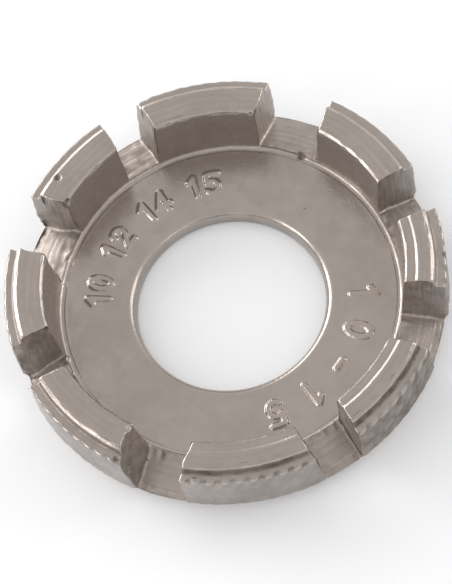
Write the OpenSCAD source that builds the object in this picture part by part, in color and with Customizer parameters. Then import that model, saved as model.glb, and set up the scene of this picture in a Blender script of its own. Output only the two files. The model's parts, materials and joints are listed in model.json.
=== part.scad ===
// Round spoke wrench: a knurled rim with eight upstanding teeth, and a web disc pressed into it.
// Eight notches of eight widths, one for each size of nipple, leave the teeth between them.
// The underside lies on z = 0, the hole's axis is Z, and the widest notch points along Y.

/* [Rim] */
// Diameter over the knurl
rim_d = 30.5; // [28:0.1:34]
// Height from the underside to the tops of the teeth
rim_h = 5.9; // [5.2:0.1:6.8]
// Width of the knurled shoulder outside the teeth
shoulder_w = 0.85; // [0.6:0.05:1.1]
// Drop from the tops of the teeth to the shoulder
shoulder_drop = 0.68; // [0.4:0.02:0.9]
// Width of the sloping step between tooth top and shoulder
step_w = 0.2; // [0.05:0.05:0.3]
// Width of the flat land on a tooth's top
land_w = 1.05; // [0.8:0.05:1.4]
// Width of the small step down inside the land
crease_w = 0.1; // [0.05:0.01:0.15]
// Drop of that step
crease_drop = 0.08; // [0.04:0.01:0.12]
// Width of the slope inside that step
slope_w = 0.85; // [0.6:0.05:1.1]
// Fall of the slope towards the middle
slope_drop = 0.08; // [0.02:0.01:0.16]
// Bevel on the top inner edge of the teeth
edge_bevel = 0.18; // [0.08:0.01:0.25]
// Lean of the teeth's inner wall, in degrees
wall_draft = 5; // [2:0.5:8]
// Fillet where the inner wall meets the web
foot_fillet_r = 0.35; // [0.2:0.05:0.5]
// Width of the bevel under the knurl
under_bevel_w = 0.66; // [0.3:0.02:0.9]
// Height of the bevel under the knurl
under_bevel_h = 1.35; // [0.8:0.05:1.4]

/* [Notches] */
// Width of the smallest notch, between the tops of the teeth
notch_1_w = 3; // [2.8:0.05:3.2]
// Width of the second notch
notch_2_w = 3.2; // [3:0.05:3.4]
// Width of the third notch
notch_3_w = 3.35; // [3.15:0.05:3.55]
// Width of the fourth notch
notch_4_w = 3.4; // [3.2:0.05:3.6]
// Width of the fifth notch
notch_5_w = 4.1; // [3.9:0.05:4.3]
// Width of the sixth notch
notch_6_w = 4.3; // [4.1:0.05:4.5]
// Width of the seventh notch
notch_7_w = 4.45; // [4.25:0.05:4.65]
// Width of the widest notch
notch_8_w = 4.7; // [4.5:0.05:4.9]
// Direction of the smallest notch, in degrees from the X axis
notch_1_angle = 141; // [139:0.5:143]
// Direction of the second notch
notch_2_angle = -135; // [-137:0.5:-133]
// Direction of the third notch
notch_3_angle = -38.5; // [-40.5:0.5:-36.5]
// Direction of the fourth notch
notch_4_angle = 44; // [42:0.5:46]
// Direction of the fifth notch
notch_5_angle = 182.5; // [180.5:0.5:184.5]
// Direction of the sixth notch
notch_6_angle = -88; // [-90:0.5:-86]
// Direction of the seventh notch
notch_7_angle = 5.5; // [3.5:0.5:7.5]
// Direction of the widest notch
notch_8_angle = 90; // [88:0.5:92]
// Lean of the tooth end on the clockwise side of each notch, in degrees
end_lean = 5; // [0:0.5:7]
// Height of the notch floors above the web, at their inner end
floor_rise = 0.4; // [0.4:0.05:0.7]
// Fall of the notch floors from there to the outside of the rim
floor_fall = 1.05; // [0.5:0.05:1.2]

/* [Knurl] */
// Number of grooves round the rim
knurl_count = 96; // [72:2:108]
// Depth of a groove
knurl_depth = 0.14; // [0.08:0.02:0.3]
// Width of a groove at the rim's face
knurl_w = 0.7; // [0.4:0.05:0.75]
// Slant of the grooves, in degrees
knurl_slant = 28; // [0:1:32]

/* [Web] */
// Thickness of the web disc
web_t = 1.3; // [1.15:0.05:1.6]
// Width of the web between the hole and the foot of the teeth
web_w = 5.04; // [4:0.02:6]
// Rounding of the hole's upper edge
lip_r = 0.8; // [0.5:0.05:0.9]
// Bevel of the hole's lower edge
bore_bevel = 0.1; // [0.05:0.01:0.15]
// Width of the shoulder that carries the disc
seat_w = 0.8; // [0.5:0.05:1.2]
// Thickness of that shoulder
seat_t = 0.5; // [0.35:0.05:0.7]
// Gap all round between disc and rim
seat_gap = 0.02; // [0.01:0.005:0.05]
// Bevel on the disc's upper outer edge
disc_bevel = 0.06; // [0.03:0.01:0.1]

/* [Hidden] */
$fn = 96;

// How far every cut runs past the solid that it cuts
overrun = 1;

nickel_rim = [0.62, 0.58, 0.55];
nickel_web = [0.66, 0.62, 0.59];

rim_r = rim_d / 2;
shoulder_z = rim_h - shoulder_drop;

// Radii across a tooth's top, from the outside in
land_r = rim_r - shoulder_w;
crease_r = land_r - land_w;
slope_r = crease_r - crease_w;
tooth_inner_r = slope_r - slope_w;

// Heights at the top and at the foot of the slope
slope_z = rim_h - crease_drop;
tooth_inner_z = slope_z - slope_drop;

// Height of the notch floors at their inner end
floor_z = web_t + floor_rise;

// Radius of the leaning inner wall at a height
function wall_r(z) = tooth_inner_r - (tooth_inner_z - z) * tan(wall_draft);

// The fillet touches the web at the seam between disc and rim
fillet_z = web_t + foot_fillet_r;
seam_r = wall_r(fillet_z) - foot_fillet_r / cos(wall_draft);
seat_r = seam_r - seat_w;
bore_r = seam_r - web_w;

// Each notch as a width and a direction
notches = [
    [notch_1_w, notch_1_angle],
    [notch_2_w, notch_2_angle],
    [notch_3_w, notch_3_angle],
    [notch_4_w, notch_4_angle],
    [notch_5_w, notch_5_angle],
    [notch_6_w, notch_6_angle],
    [notch_7_w, notch_7_angle],
    [notch_8_w, notch_8_angle]
];

// Cross-section of the rim, without the fillet at the foot of the teeth
module rim_section() {
    polygon([
        [seat_r, 0],
        [rim_r - under_bevel_w, 0],
        [rim_r, under_bevel_h],
        [rim_r, shoulder_z],
        [land_r + step_w, shoulder_z],
        [land_r, rim_h],
        [crease_r, rim_h],
        [slope_r, slope_z],
        [tooth_inner_r + edge_bevel, tooth_inner_z + slope_drop * edge_bevel / slope_w],
        [wall_r(tooth_inner_z - edge_bevel), tooth_inner_z - edge_bevel],
        [wall_r(web_t), web_t],
        [seam_r, web_t],
        [seam_r, seat_t],
        [seat_r, seat_t]
    ]);
}

// Hollow fillet between the inner wall and the web
module foot_fillet_section() {
    difference() {
        polygon([
            [seam_r, web_t],
            [wall_r(web_t), web_t],
            [wall_r(fillet_z), fillet_z],
            [seam_r, fillet_z]
        ]);
        translate([seam_r, fillet_z]) circle(foot_fillet_r);
    }
}

// Outline of a notch, seen along it: one side upright, the other leaning in towards the floor
module notch_section(w) {
    mouth_h = rim_h - floor_z;
    cut_h = rim_h + overrun;
    polygon([
        [w / 2, 0],
        [w / 2, cut_h],
        [(mouth_h - cut_h) * tan(end_lean) - w / 2, cut_h],
        [mouth_h * tan(end_lean) - w / 2, 0]
    ]);
}

// One notch, its floor falling from the foot of the teeth outward
module notch_cutter(w) {
    inner_r = wall_r(floor_z);
    floor_l = rim_r - inner_r;
    start_l = rim_h + overrun;
    translate([inner_r, 0, floor_z])
        rotate([0, atan(floor_fall / floor_l), 0])
            translate([-start_l, 0, 0])
                rotate([90, 0, 90])
                    linear_extrude(height = start_l + floor_l + rim_h)
                        notch_section(w);
}

module notch_cutters() {
    for (notch = notches)
        rotate([0, 0, notch[1]])
            notch_cutter(notch[0]);
}

// One groove of the knurl, its upper end leaning anticlockwise round the rim
module knurl_groove() {
    groove_l = (rim_h + overrun) / cos(knurl_slant);
    outer_x = knurl_depth + overrun;
    outer_w = knurl_w * outer_x / knurl_depth;
    translate([rim_r - knurl_depth, 0, shoulder_z / 2])
        rotate([-knurl_slant, 0, 0])
            linear_extrude(height = groove_l, center = true)
                polygon([
                    [0, 0],
                    [outer_x, -outer_w / 2],
                    [outer_x, outer_w / 2]
                ]);
}

module knurl_cutters() {
    for (i = [0 : knurl_count - 1])
        rotate([0, 0, i * 360 / knurl_count])
            knurl_groove();
}

module toothed_rim() {
    color(nickel_rim)
        difference() {
            rotate_extrude() {
                rim_section();
                foot_fillet_section();
            }
            notch_cutters();
            knurl_cutters();
        }
}

// Cross-section of the disc: a plate with a step below that drops inside the rim's shoulder
module disc_section() {
    plate_r = seam_r - seat_gap;
    boss_r = seat_r - seat_gap;
    difference() {
        polygon([
            [bore_r + bore_bevel, 0],
            [boss_r, 0],
            [boss_r, seat_t],
            [plate_r, seat_t],
            [plate_r, web_t - disc_bevel],
            [plate_r - disc_bevel, web_t],
            [bore_r, web_t],
            [bore_r, bore_bevel]
        ]);
        lip_corner_section();
    }
}

// What the rounded lip takes off the hole's upper edge
module lip_corner_section() {
    difference() {
        translate([bore_r - overrun, web_t - lip_r]) square([lip_r + overrun, lip_r + overrun]);
        translate([bore_r + lip_r, web_t - lip_r]) circle(lip_r);
    }
}

module web_disc() {
    color(nickel_web)
        rotate_extrude()
            disc_section();
}

toothed_rim();
web_disc();
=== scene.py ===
import json
import logging
import math
from collections.abc import Sequence
from dataclasses import dataclass, replace
from enum import Enum, auto

import bpy
import numpy as np
from mathutils import Matrix, Vector


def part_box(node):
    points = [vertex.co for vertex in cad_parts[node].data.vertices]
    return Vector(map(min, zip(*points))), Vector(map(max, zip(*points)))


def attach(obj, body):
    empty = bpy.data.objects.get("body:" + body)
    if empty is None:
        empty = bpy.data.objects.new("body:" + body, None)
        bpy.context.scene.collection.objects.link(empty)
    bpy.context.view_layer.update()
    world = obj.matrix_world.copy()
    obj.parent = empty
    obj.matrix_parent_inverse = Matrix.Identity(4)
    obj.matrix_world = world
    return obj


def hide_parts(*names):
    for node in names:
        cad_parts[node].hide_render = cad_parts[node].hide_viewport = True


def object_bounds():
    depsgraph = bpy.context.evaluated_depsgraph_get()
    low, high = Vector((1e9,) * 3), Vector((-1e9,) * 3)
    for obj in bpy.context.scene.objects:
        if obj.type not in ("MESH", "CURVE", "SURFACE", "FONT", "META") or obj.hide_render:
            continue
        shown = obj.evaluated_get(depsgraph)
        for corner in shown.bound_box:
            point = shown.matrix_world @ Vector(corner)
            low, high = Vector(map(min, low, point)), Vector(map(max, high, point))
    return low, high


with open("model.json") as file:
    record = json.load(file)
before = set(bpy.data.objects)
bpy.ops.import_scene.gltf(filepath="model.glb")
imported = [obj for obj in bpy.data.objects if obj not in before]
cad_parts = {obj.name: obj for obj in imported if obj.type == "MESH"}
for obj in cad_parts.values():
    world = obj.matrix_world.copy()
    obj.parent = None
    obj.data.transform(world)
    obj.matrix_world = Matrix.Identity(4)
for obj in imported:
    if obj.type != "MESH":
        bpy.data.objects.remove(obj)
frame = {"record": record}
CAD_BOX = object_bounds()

LOG = logging.getLogger("spoke_wrench")
BODY = "root"
# Sizes in the classes below are in millimetres and degrees; meshes and lamps are in metres.
MM = 0.001
FULL_TURN = 2 * math.pi
# The UV map for baking, and the margins round each of its bands
BAKE_MAP = "OFBake"
BAKE_MARGIN = (0.005, 0.01)
# What is left open between the two plated skins
SEAM_GAP = 0.002
# Faces that meet more sharply than this keep a crisp edge
SHARP_ANGLE = math.radians(65)
# How strongly large faces set the shading of the corners that they share
FLAT_WEIGHT = 60
# How often the directions along a cross-section are blurred
DIRECTION_BLURS = 3
# Points of a skin that are nearer to each other than this count as one
SAME_PLACE = 1e-6
# The least length that a vector is divided by
TINY = 1e-12
# From where to where a bend, in radians per millimetre, counts as a rubbed edge or as a hollow that gets painted
# shade
EDGE_BEND = (1.0, 7.0)
HOLLOW_BEND = (4.0, 12.0)

Array = np.ndarray
Socket = bpy.types.NodeSocket
Colour = tuple[float, float, float]
# Values by angle, in degrees
Table = tuple[tuple[float, float], ...]
Point = tuple[float, float]
Line = list[Point]


class RimFace(Enum):
    """The faces met in order round the rim's cross-section, from the middle of the underside."""

    UNDERSIDE = auto()
    UNDER_BEVEL = auto()
    UPPER_BEVEL = auto()
    KNURL = auto()
    SHOULDER = auto()
    STEP = auto()
    LAND = auto()
    CREASE = auto()
    SLOPE = auto()
    EDGE = auto()
    INNER_WALL = auto()
    FOOT = auto()
    SEAM = auto()
    SEAT = auto()
    SKIRT = auto()


class WebFace(Enum):
    """The faces met in order round the web's cross-section, from the hole's lower edge."""

    UNDERSIDE = auto()
    SKIRT = auto()
    SEAT = auto()
    SEAM = auto()
    TOP = auto()
    BORE = auto()
    BORE_BEVEL = auto()


def smooth_step(low: float, high: float, value: Array) -> Array:
    """Rises smoothly from 0 at low to 1 at high."""
    t = np.clip((value - low) / (high - low), 0, 1)
    return t * t * (3 - 2 * t)


def unit(vectors: Array) -> Array:
    """Vectors along the last axis, each made one unit long."""
    return vectors / np.maximum(np.linalg.norm(vectors, axis=-1, keepdims=True), TINY)


def blurred(values: Array, axis: int) -> Array:
    """Values round a closed ring, each blended with its two neighbours."""
    return (np.roll(values, 1, axis=axis) + 2 * values + np.roll(values, -1, axis=axis)) / 4


@dataclass(frozen=True)
class Corner:
    """A corner of a cross-section, and the face that follows it."""

    r: float  # Distance from the axis
    z: float  # Height above the underside
    face: Enum  # The face that starts here
    rounding: float = 0.0  # Radius of the corner
    arc_rows: int = 0  # Rows of the mesh on the rounding
    edge_rows: int = 1  # Rows of the mesh on the face


@dataclass(frozen=True)
class Section:
    """A traced cross-section: radius, height and face of each row, and the outward direction there."""

    r: Array
    z: Array
    out_r: Array
    out_z: Array
    faces: list[Enum]

    def rows(self, *faces: Enum) -> Array:
        """True for the rows of these faces."""
        return np.array([face in faces for face in self.faces])


def trace_section(corners: Sequence[Corner]) -> Section:
    """Turns rounded corners into the rows of a closed cross-section.

    Args:
        corners: The corners in order, with the material on the left.

    Returns:
        The traced section.
    """
    at = np.array([(corner.r, corner.z) for corner in corners])
    to_last = unit(np.roll(at, 1, axis=0) - at)
    to_next = unit(np.roll(at, -1, axis=0) - at)
    half_angle = np.arccos(np.clip((to_last * to_next).sum(axis=1), -1, 1)) / 2
    reach = np.array([corner.rounding for corner in corners]) / np.tan(half_angle)
    starts = at + to_last * reach[:, None]
    ends = at + to_next * reach[:, None]
    points: list[Array] = []
    faces: list[Enum] = []
    for i, corner in enumerate(corners):
        s = np.linspace(0, 1, corner.arc_rows, endpoint=False)[:, None]
        points.extend((1 - s) ** 2 * starts[i] + 2 * s * (1 - s) * at[i] + s**2 * ends[i])
        t = np.linspace(0, 1, corner.edge_rows, endpoint=False)[:, None]
        points.extend(ends[i] + t * (starts[(i + 1) % len(corners)] - ends[i]))
        faces.extend([corner.face] * (corner.arc_rows + corner.edge_rows))
    line = np.array(points)
    ahead = np.roll(line, -1, axis=0) - np.roll(line, 1, axis=0)
    for _ in range(DIRECTION_BLURS):
        ahead = blurred(ahead, 0)
    ahead = unit(ahead)
    return Section(line[:, 0], line[:, 1], ahead[:, 1], -ahead[:, 0], faces)


@dataclass(frozen=True)
class Waves:
    """Smooth seeded unevenness in space, about one unit high."""

    seed: int  # Number that the waves are drawn from
    length: float  # Typical length of a wave
    share: float = 1.0  # How much they count beside other waves
    count: int = 28  # Number of waves added up
    spread: tuple[float, float] = (0.6, 1.7)  # Shortest and longest wave, beside the typical one

    def at(self, points: Array) -> Array:
        """Works out the height of the waves.

        Args:
            points: Points, with x, y, z on the last axis.

        Returns:
            The height at each point.
        """
        rng = np.random.default_rng(self.seed)
        heading = unit(rng.normal(size=(self.count, 3)))
        length = self.length * rng.uniform(*self.spread, self.count)
        phase = rng.uniform(0, FULL_TURN, self.count)
        swing = points @ (heading * (FULL_TURN / length)[:, None]).T + phase
        return self.share * (np.sin(swing).sum(axis=-1) * math.sqrt(2 / self.count))


def added_up(layers: Sequence[Waves], points: Array) -> Array:
    """The height of several sets of waves together."""
    return sum(waves.at(points) for waves in layers)


@dataclass(frozen=True)
class Pit:
    """A small hollow in a surface."""

    angle: float  # Direction from the axis
    r: float  # Distance from the axis
    z: float  # Height above the underside
    radius: float  # How far it spreads
    depth: float  # How deep it is, or with a minus sign how high it stands

    def sink(self, points: Array) -> Array:
        """Works out how far points sink into the surface.

        Args:
            points: Points, with x, y, z on the last axis.

        Returns:
            The depth at each point.
        """
        turn = math.radians(self.angle)
        middle = np.array((self.r * math.cos(turn), self.r * math.sin(turn), self.z))
        gap = np.linalg.norm(points - middle, axis=-1) / self.radius
        return self.depth * np.clip(1 - gap**2, 0, None) ** 2


@dataclass
class RingSkin:
    """A closed skin round the axis."""

    points: Array  # Columns round the axis by rows round the cross-section by x, y, z

    @classmethod
    def turned(cls, r: Array, turn: Array, z: Array) -> "RingSkin":
        """A skin from the radius, angle and height of each point."""
        return cls(np.stack([r * np.cos(turn), r * np.sin(turn), z], axis=-1))

    def outward(self) -> Array:
        """Works out the skin's normals.

        Returns:
            The outward direction at each point, one unit long.
        """
        p = self.points
        along = np.roll(p, -1, axis=0) - np.roll(p, 1, axis=0)
        around = np.roll(p, -1, axis=1) - np.roll(p, 1, axis=1)
        return unit(np.cross(along, around))

    def push(self, distance: Array) -> None:
        """Moves the points outward, and those in the same place together.

        Args:
            distance: How far each point moves.
        """
        step = self.outward() * distance[..., None]
        same = np.linalg.norm(np.diff(self.points, axis=0), axis=-1) < SAME_PLACE
        for column, joined in enumerate(same, start=1):
            step[column, joined] = step[column - 1, joined]
        self.points = self.points + step

    def bend(self) -> Array:
        """Measures how sharply the skin turns.

        Returns:
            The bend at each point, in radians per millimetre, with edges above zero.
        """
        normal = self.outward()
        total = np.zeros(self.points.shape[:2])
        for axis in (0, 1):
            back = self.points - np.roll(self.points, 1, axis=axis)
            ahead = np.roll(self.points, -1, axis=axis) - self.points
            back_length = np.maximum(np.linalg.norm(back, axis=-1), SAME_PLACE)
            ahead_length = np.maximum(np.linalg.norm(ahead, axis=-1), SAME_PLACE)
            turn = back / back_length[..., None] - ahead / ahead_length[..., None]
            total += (turn * normal).sum(axis=-1) * 2 / (back_length + ahead_length)
        return total

    def to_object(self, name: str, strips: int, shade_mask: Array, rough: Array) -> bpy.types.Object:
        """Makes a mesh object of the skin, with its bake map and its edge, painted shade and rough masks.

        Args:
            name: Name of the object and of its mesh.
            strips: Number of bands that the bake map divides the ring into.
            shade_mask: How much painted shade lies on each point, beside the painted shade in sharp hollows.
            rough: How rough the casting is under the plate at each point.

        Returns:
            The new object, in the scene.
        """
        columns, rows = self.points.shape[:2]
        index = np.arange(columns * rows).reshape(columns, rows)
        right = np.roll(index, -1, axis=0)
        quads = np.stack([index, right, np.roll(right, -1, axis=1), np.roll(index, -1, axis=1)], axis=-1)
        mesh = bpy.data.meshes.new(name)
        mesh.from_pydata((self.points * MM).reshape(-1, 3).tolist(), [], quads.reshape(-1, 4).tolist())
        mesh.shade_smooth()
        mesh.set_sharp_from_angle(angle=SHARP_ANGLE)
        uv_map = mesh.uv_layers.new(name=BAKE_MAP)
        uv_map.data.foreach_set("uv", self._bake_map(strips).astype(np.float32).ravel())
        bend = self.bend()
        for axis in (0, 1, 0, 1):
            bend = blurred(bend, axis)
        self._mask(mesh, "edge", smooth_step(*EDGE_BEND, bend))
        # Painted shade: sharp hollows, and the shade given by the caller, darken the plate here
        self._mask(mesh, "hollow", np.maximum(smooth_step(*HOLLOW_BEND, -bend), shade_mask))
        self._mask(mesh, "rough", rough)
        piece = bpy.data.objects.new(name, mesh)
        bpy.context.scene.collection.objects.link(piece)
        flats = piece.modifiers.new("flat_faces", "WEIGHTED_NORMAL")
        flats.mode = "FACE_AREA"
        flats.weight = FLAT_WEIGHT
        flats.keep_sharp = True
        return piece

    def _bake_map(self, strips: int) -> Array:
        """Unrolls the ring into bands, one above the other.

        Args:
            strips: Number of bands.

        Returns:
            Two coordinates for each corner of each face.
        """
        columns, rows = self.points.shape[:2]
        column = np.arange(columns)
        strip = column * strips // columns
        starts = np.array([np.flatnonzero(strip == s)[0] for s in range(strips)] + [columns])
        steps = np.linalg.norm(np.roll(self.points, -1, axis=1) - self.points, axis=-1).mean(axis=0)
        height = np.concatenate([[0], np.cumsum(steps)]) / steps.sum()
        side, foot = BAKE_MARGIN
        corners = np.zeros((columns, rows, 4, 2))
        for corner, (one_on, one_up) in enumerate([(0, 0), (1, 0), (1, 1), (0, 1)]):
            along = (column + one_on - starts[strip]) / (starts[strip + 1] - starts[strip])
            up = height[np.arange(rows) + one_up]
            corners[:, :, corner, 0] = side + (1 - 2 * side) * along[:, None]
            corners[:, :, corner, 1] = (strip[:, None] + foot + (1 - 2 * foot) * up[None, :]) / strips
        return corners

    @staticmethod
    def _mask(mesh: bpy.types.Mesh, name: str, values: Array) -> None:
        """Keeps one number for each point of the mesh."""
        layer = mesh.attributes.new(name, "FLOAT", "POINT")
        layer.data.foreach_set("value", values.astype(np.float32).ravel())


class Graph:
    """Adds and joins the nodes of one node tree."""

    def __init__(self, tree: bpy.types.NodeTree) -> None:
        """Starts on a tree."""
        self.tree = tree

    def add(self, kind: str, inputs: dict | None = None, **settings: object) -> bpy.types.Node:
        """Adds a node.

        Args:
            kind: Type name of the node.
            inputs: Values of input sockets, or outputs to join to them, by name or number.
            settings: Properties of the node.

        Returns:
            The new node.
        """
        node = self.tree.nodes.new(kind)
        for name, value in settings.items():
            setattr(node, name, value)
        for socket, value in (inputs or {}).items():
            if isinstance(value, Socket):
                self.tree.links.new(value, node.inputs[socket])
            else:
                node.inputs[socket].default_value = value
        return node

    def place(self) -> Socket:
        """Adds the place on the object and returns it."""
        return self.add("ShaderNodeTexCoord").outputs["Object"]

    def noise(self, place: object, scale: object, **inputs: float) -> Socket:
        """Adds a cloudy noise and returns its height."""
        return self.add("ShaderNodeTexNoise", {"Vector": place, "Scale": scale, **inputs}).outputs[0]

    def math(self, operation: str, *values: float | Socket) -> Socket:
        """Adds a sum of the named kind and returns its result."""
        return self.add("ShaderNodeMath", dict(enumerate(values)), operation=operation).outputs[0]

    def mix(self, share: object, a: Colour | Socket, b: Colour) -> Socket:
        """Adds a blend of two colours and returns its result."""
        a = (*a, 1) if isinstance(a, tuple) else a
        return self.add("ShaderNodeMix", {0: share, 6: a, 7: (*b, 1)}, data_type="RGBA").outputs[2]

    def ramp(self, value: Socket, low: float, high: float) -> Socket:
        """Adds a smooth rise from 0 at low to 1 at high and returns its result."""
        inputs = {"Value": value, "From Min": low, "From Max": high}
        return self.add("ShaderNodeMapRange", inputs, interpolation_type="SMOOTHSTEP").outputs[0]


class PlateEffects:
    """Shader groups that both plated finishes share."""

    def __init__(self) -> None:
        """Builds each group once."""
        self.mottle = self._group("plate_mottle", {"Scale": 300.0, "Contrast": 1.0}, "Tone")
        self._draw_mottle()
        self.grain = self._group("plate_grain", {"Scale": 9000.0, "Pits": 0.3}, "Height")
        self._draw_grain()
        # Rubbed edges, painted shade and rough casting
        self.wear_and_shade = self._group("plate_wear", {"Break Up": 0.5}, "Edge", "Hollow", "Rough")
        self._draw_wear_and_shade()

    @staticmethod
    def _group(name: str, inputs: dict[str, float], *outputs: str) -> bpy.types.NodeTree:
        """Makes an empty group.

        Args:
            name: Name of the group.
            inputs: Its number inputs and their usual values.
            outputs: Its number outputs.

        Returns:
            The group's node tree.
        """
        tree = bpy.data.node_groups.new(name, "ShaderNodeTree")
        for socket, value in inputs.items():
            made = tree.interface.new_socket(socket, in_out="INPUT", socket_type="NodeSocketFloat")
            made.default_value = value
        for socket in outputs:
            tree.interface.new_socket(socket, in_out="OUTPUT", socket_type="NodeSocketFloat")
        return tree

    def _draw_mottle(self) -> None:
        """Cloudy patches of tone, large ones broken up by small ones."""
        graph = Graph(self.mottle)
        given = graph.add("NodeGroupInput").outputs
        place = graph.place()
        large = graph.noise(place, given["Scale"], Detail=3.0, Roughness=0.55)
        fine_scale = graph.math("MULTIPLY", given["Scale"], 5.0)
        small = graph.noise(place, fine_scale, Detail=4.0, Roughness=0.6)
        blend = graph.math("MULTIPLY_ADD", small, 0.45, graph.math("MULTIPLY", large, 0.55))
        spread = graph.math("MULTIPLY_ADD", graph.math("SUBTRACT", blend, 0.5), given["Contrast"], 0.5)
        graph.add("NodeGroupOutput", {"Tone": graph.ramp(spread, 0.3, 0.7)})

    def _draw_grain(self) -> None:
        """Fine orange-peel of the plating, with a few pinholes."""
        graph = Graph(self.grain)
        given = graph.add("NodeGroupInput").outputs
        place = graph.place()
        peel = graph.noise(place, given["Scale"], Detail=3.0)
        coarse = graph.math("MULTIPLY", given["Scale"], 0.25)
        cells = graph.add("ShaderNodeTexVoronoi", {"Vector": place, "Scale": coarse}).outputs
        hole = graph.math("SUBTRACT", 1.0, graph.ramp(cells["Distance"], 0.06, 0.2))
        rare = graph.ramp(cells["Color"], 0.72, 0.76)
        sunk = graph.math("MULTIPLY", graph.math("MULTIPLY", hole, rare), given["Pits"])
        graph.add("NodeGroupOutput", {"Height": graph.math("SUBTRACT", peel, sunk)})

    def _draw_wear_and_shade(self) -> None:
        """Rubbed edges, painted shade in hollows and on shaded faces, and rough casting, read from the mesh and
        broken up.
        """
        graph = Graph(self.wear_and_shade)
        given = graph.add("NodeGroupInput").outputs
        patch = graph.noise(graph.place(), 1200.0, Detail=3.0)
        loss = graph.math("MULTIPLY", graph.ramp(patch, 0.35, 0.65), given["Break Up"])
        keep = graph.math("SUBTRACT", 1.0, loss)
        masks = {}
        for mask in ("Edge", "Hollow", "Rough"):
            drawn = graph.add("ShaderNodeAttribute", attribute_name=mask.lower())
            masks[mask] = graph.math("MULTIPLY", drawn.outputs["Fac"], keep)
        graph.add("NodeGroupOutput", masks)


@dataclass(frozen=True)
class NickelPlate:
    """Dull nickel plate over a casting."""

    name: str  # Name of the material
    bright: Colour  # Colour of the clean plate
    dull: Colour  # Colour of its tarnished patches
    hollow: Colour  # Colour of the painted shade in hollows, grooves, notches, pits and shaded faces
    roughness: tuple[float, float]  # Roughness of clean and of tarnished plate
    mottle_scale: float  # Patches of tarnish to a metre
    mottle_contrast: float  # How sharply the patches stand out
    grain_scale: float  # Grains to a metre
    grain_height: float  # Height of the grain, in metres
    pits: float  # Depth of the pinholes beside the grain
    turning: float = 0.0  # Height of the turning marks round the axis, in metres
    turning_scale: float = 4200.0  # Turning marks to a metre
    turning_drift: float = 0.0006  # How far they wander from circles, in metres
    turning_tone: float = 2.2  # How strongly the turning marks set the tone
    rubbing: float = 0.25  # How much smoother the plate is on rubbed edges, beside clean plate
    coarseness: float = 0.45  # How much rougher it is on rough casting
    dust: float = 0.4  # How much rougher it is where shade is painted
    shade_cover: float = 0.85  # How far the painted shade covers the plate

    def material(self, effects: PlateEffects) -> bpy.types.Material:
        """Makes the material.

        Args:
            effects: The shared shader groups.

        Returns:
            The new material.
        """
        made = bpy.data.materials.new(self.name)
        made.use_nodes = True
        made.node_tree.nodes.clear()
        graph = Graph(made.node_tree)
        patches = {"Scale": self.mottle_scale, "Contrast": self.mottle_contrast}
        tone = graph.add("ShaderNodeGroup", patches, node_tree=effects.mottle).outputs["Tone"]
        grains = {"Scale": self.grain_scale, "Pits": self.pits}
        grain = graph.add("ShaderNodeGroup", grains, node_tree=effects.grain).outputs["Height"]
        wear_and_shade = graph.add("ShaderNodeGroup", node_tree=effects.wear_and_shade).outputs
        normal = graph.add(
            "ShaderNodeBump", {"Height": grain, "Distance": self.grain_height, "Strength": 1.0}
        ).outputs[0]
        if self.turning:
            rings = self._turning_marks(graph)
            tone = graph.math("MULTIPLY_ADD", graph.math("SUBTRACT", rings, 0.5), self.turning_tone, tone)
            marks = {"Height": rings, "Distance": self.turning, "Strength": 1.0, "Normal": normal}
            normal = graph.add("ShaderNodeBump", marks).outputs[0]
        plate = graph.mix(tone, self.dull, self.bright)
        # Painted shade: darkens the plate in hollows, grooves, notches, pits and on faces that stand in shade
        sunk = graph.math("MULTIPLY", wear_and_shade["Hollow"], self.shade_cover)
        colour = graph.mix(sunk, plate, self.hollow)
        clean, tarnished = self.roughness
        gloss = graph.add("ShaderNodeMapRange", {"Value": tone, "To Min": tarnished, "To Max": clean}).outputs[0]
        for mask, change in (("Edge", -self.rubbing * clean), ("Rough", self.coarseness), ("Hollow", self.dust)):
            gloss = graph.math("MULTIPLY_ADD", wear_and_shade[mask], change, gloss)
        shader = graph.add(
            "ShaderNodeBsdfPrincipled",
            {"Base Color": colour, "Metallic": 1.0, "Roughness": gloss, "Normal": normal},
        )
        graph.add("ShaderNodeOutputMaterial", {"Surface": shader.outputs[0]})
        return made

    def _turning_marks(self, graph: Graph) -> Socket:
        """Adds fine, uneven rings round the axis.

        Args:
            graph: The material's nodes.

        Returns:
            The height of the rings.
        """
        place = graph.place()
        flat = graph.add("ShaderNodeVectorMath", {0: place, 1: (1.0, 1.0, 0.0)}, operation="MULTIPLY").outputs[0]
        out = graph.add("ShaderNodeVectorMath", {0: flat}, operation="LENGTH").outputs["Value"]
        drift = graph.noise(place, 250.0, Detail=1.0)
        radius = graph.math("MULTIPLY_ADD", drift, self.turning_drift, out)
        ring = graph.add("ShaderNodeCombineXYZ", {"X": radius}).outputs[0]
        return graph.noise(ring, self.turning_scale, Detail=2.0)


RIM_NICKEL = NickelPlate(
    name="rim_nickel_plate",
    bright=(0.455, 0.415, 0.388),
    dull=(0.385, 0.350, 0.326),
    # Colour of the painted shade
    hollow=(0.12, 0.10, 0.082),
    roughness=(0.22, 0.34),
    mottle_scale=260.0,
    mottle_contrast=1.3,
    grain_scale=7000.0,
    grain_height=0.000012,
    pits=0.5,
    turning=0.00003,
)
WEB_NICKEL = replace(
    RIM_NICKEL,
    name="web_nickel_plate",
    dull=(0.390, 0.355, 0.330),
    hollow=(0.12, 0.11, 0.098),
    roughness=(0.19, 0.31),
    mottle_scale=180.0,
    mottle_contrast=1.2,
    grain_scale=6000.0,
    grain_height=0.000010,
    pits=0.3,
    turning=0.0,
)


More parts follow.
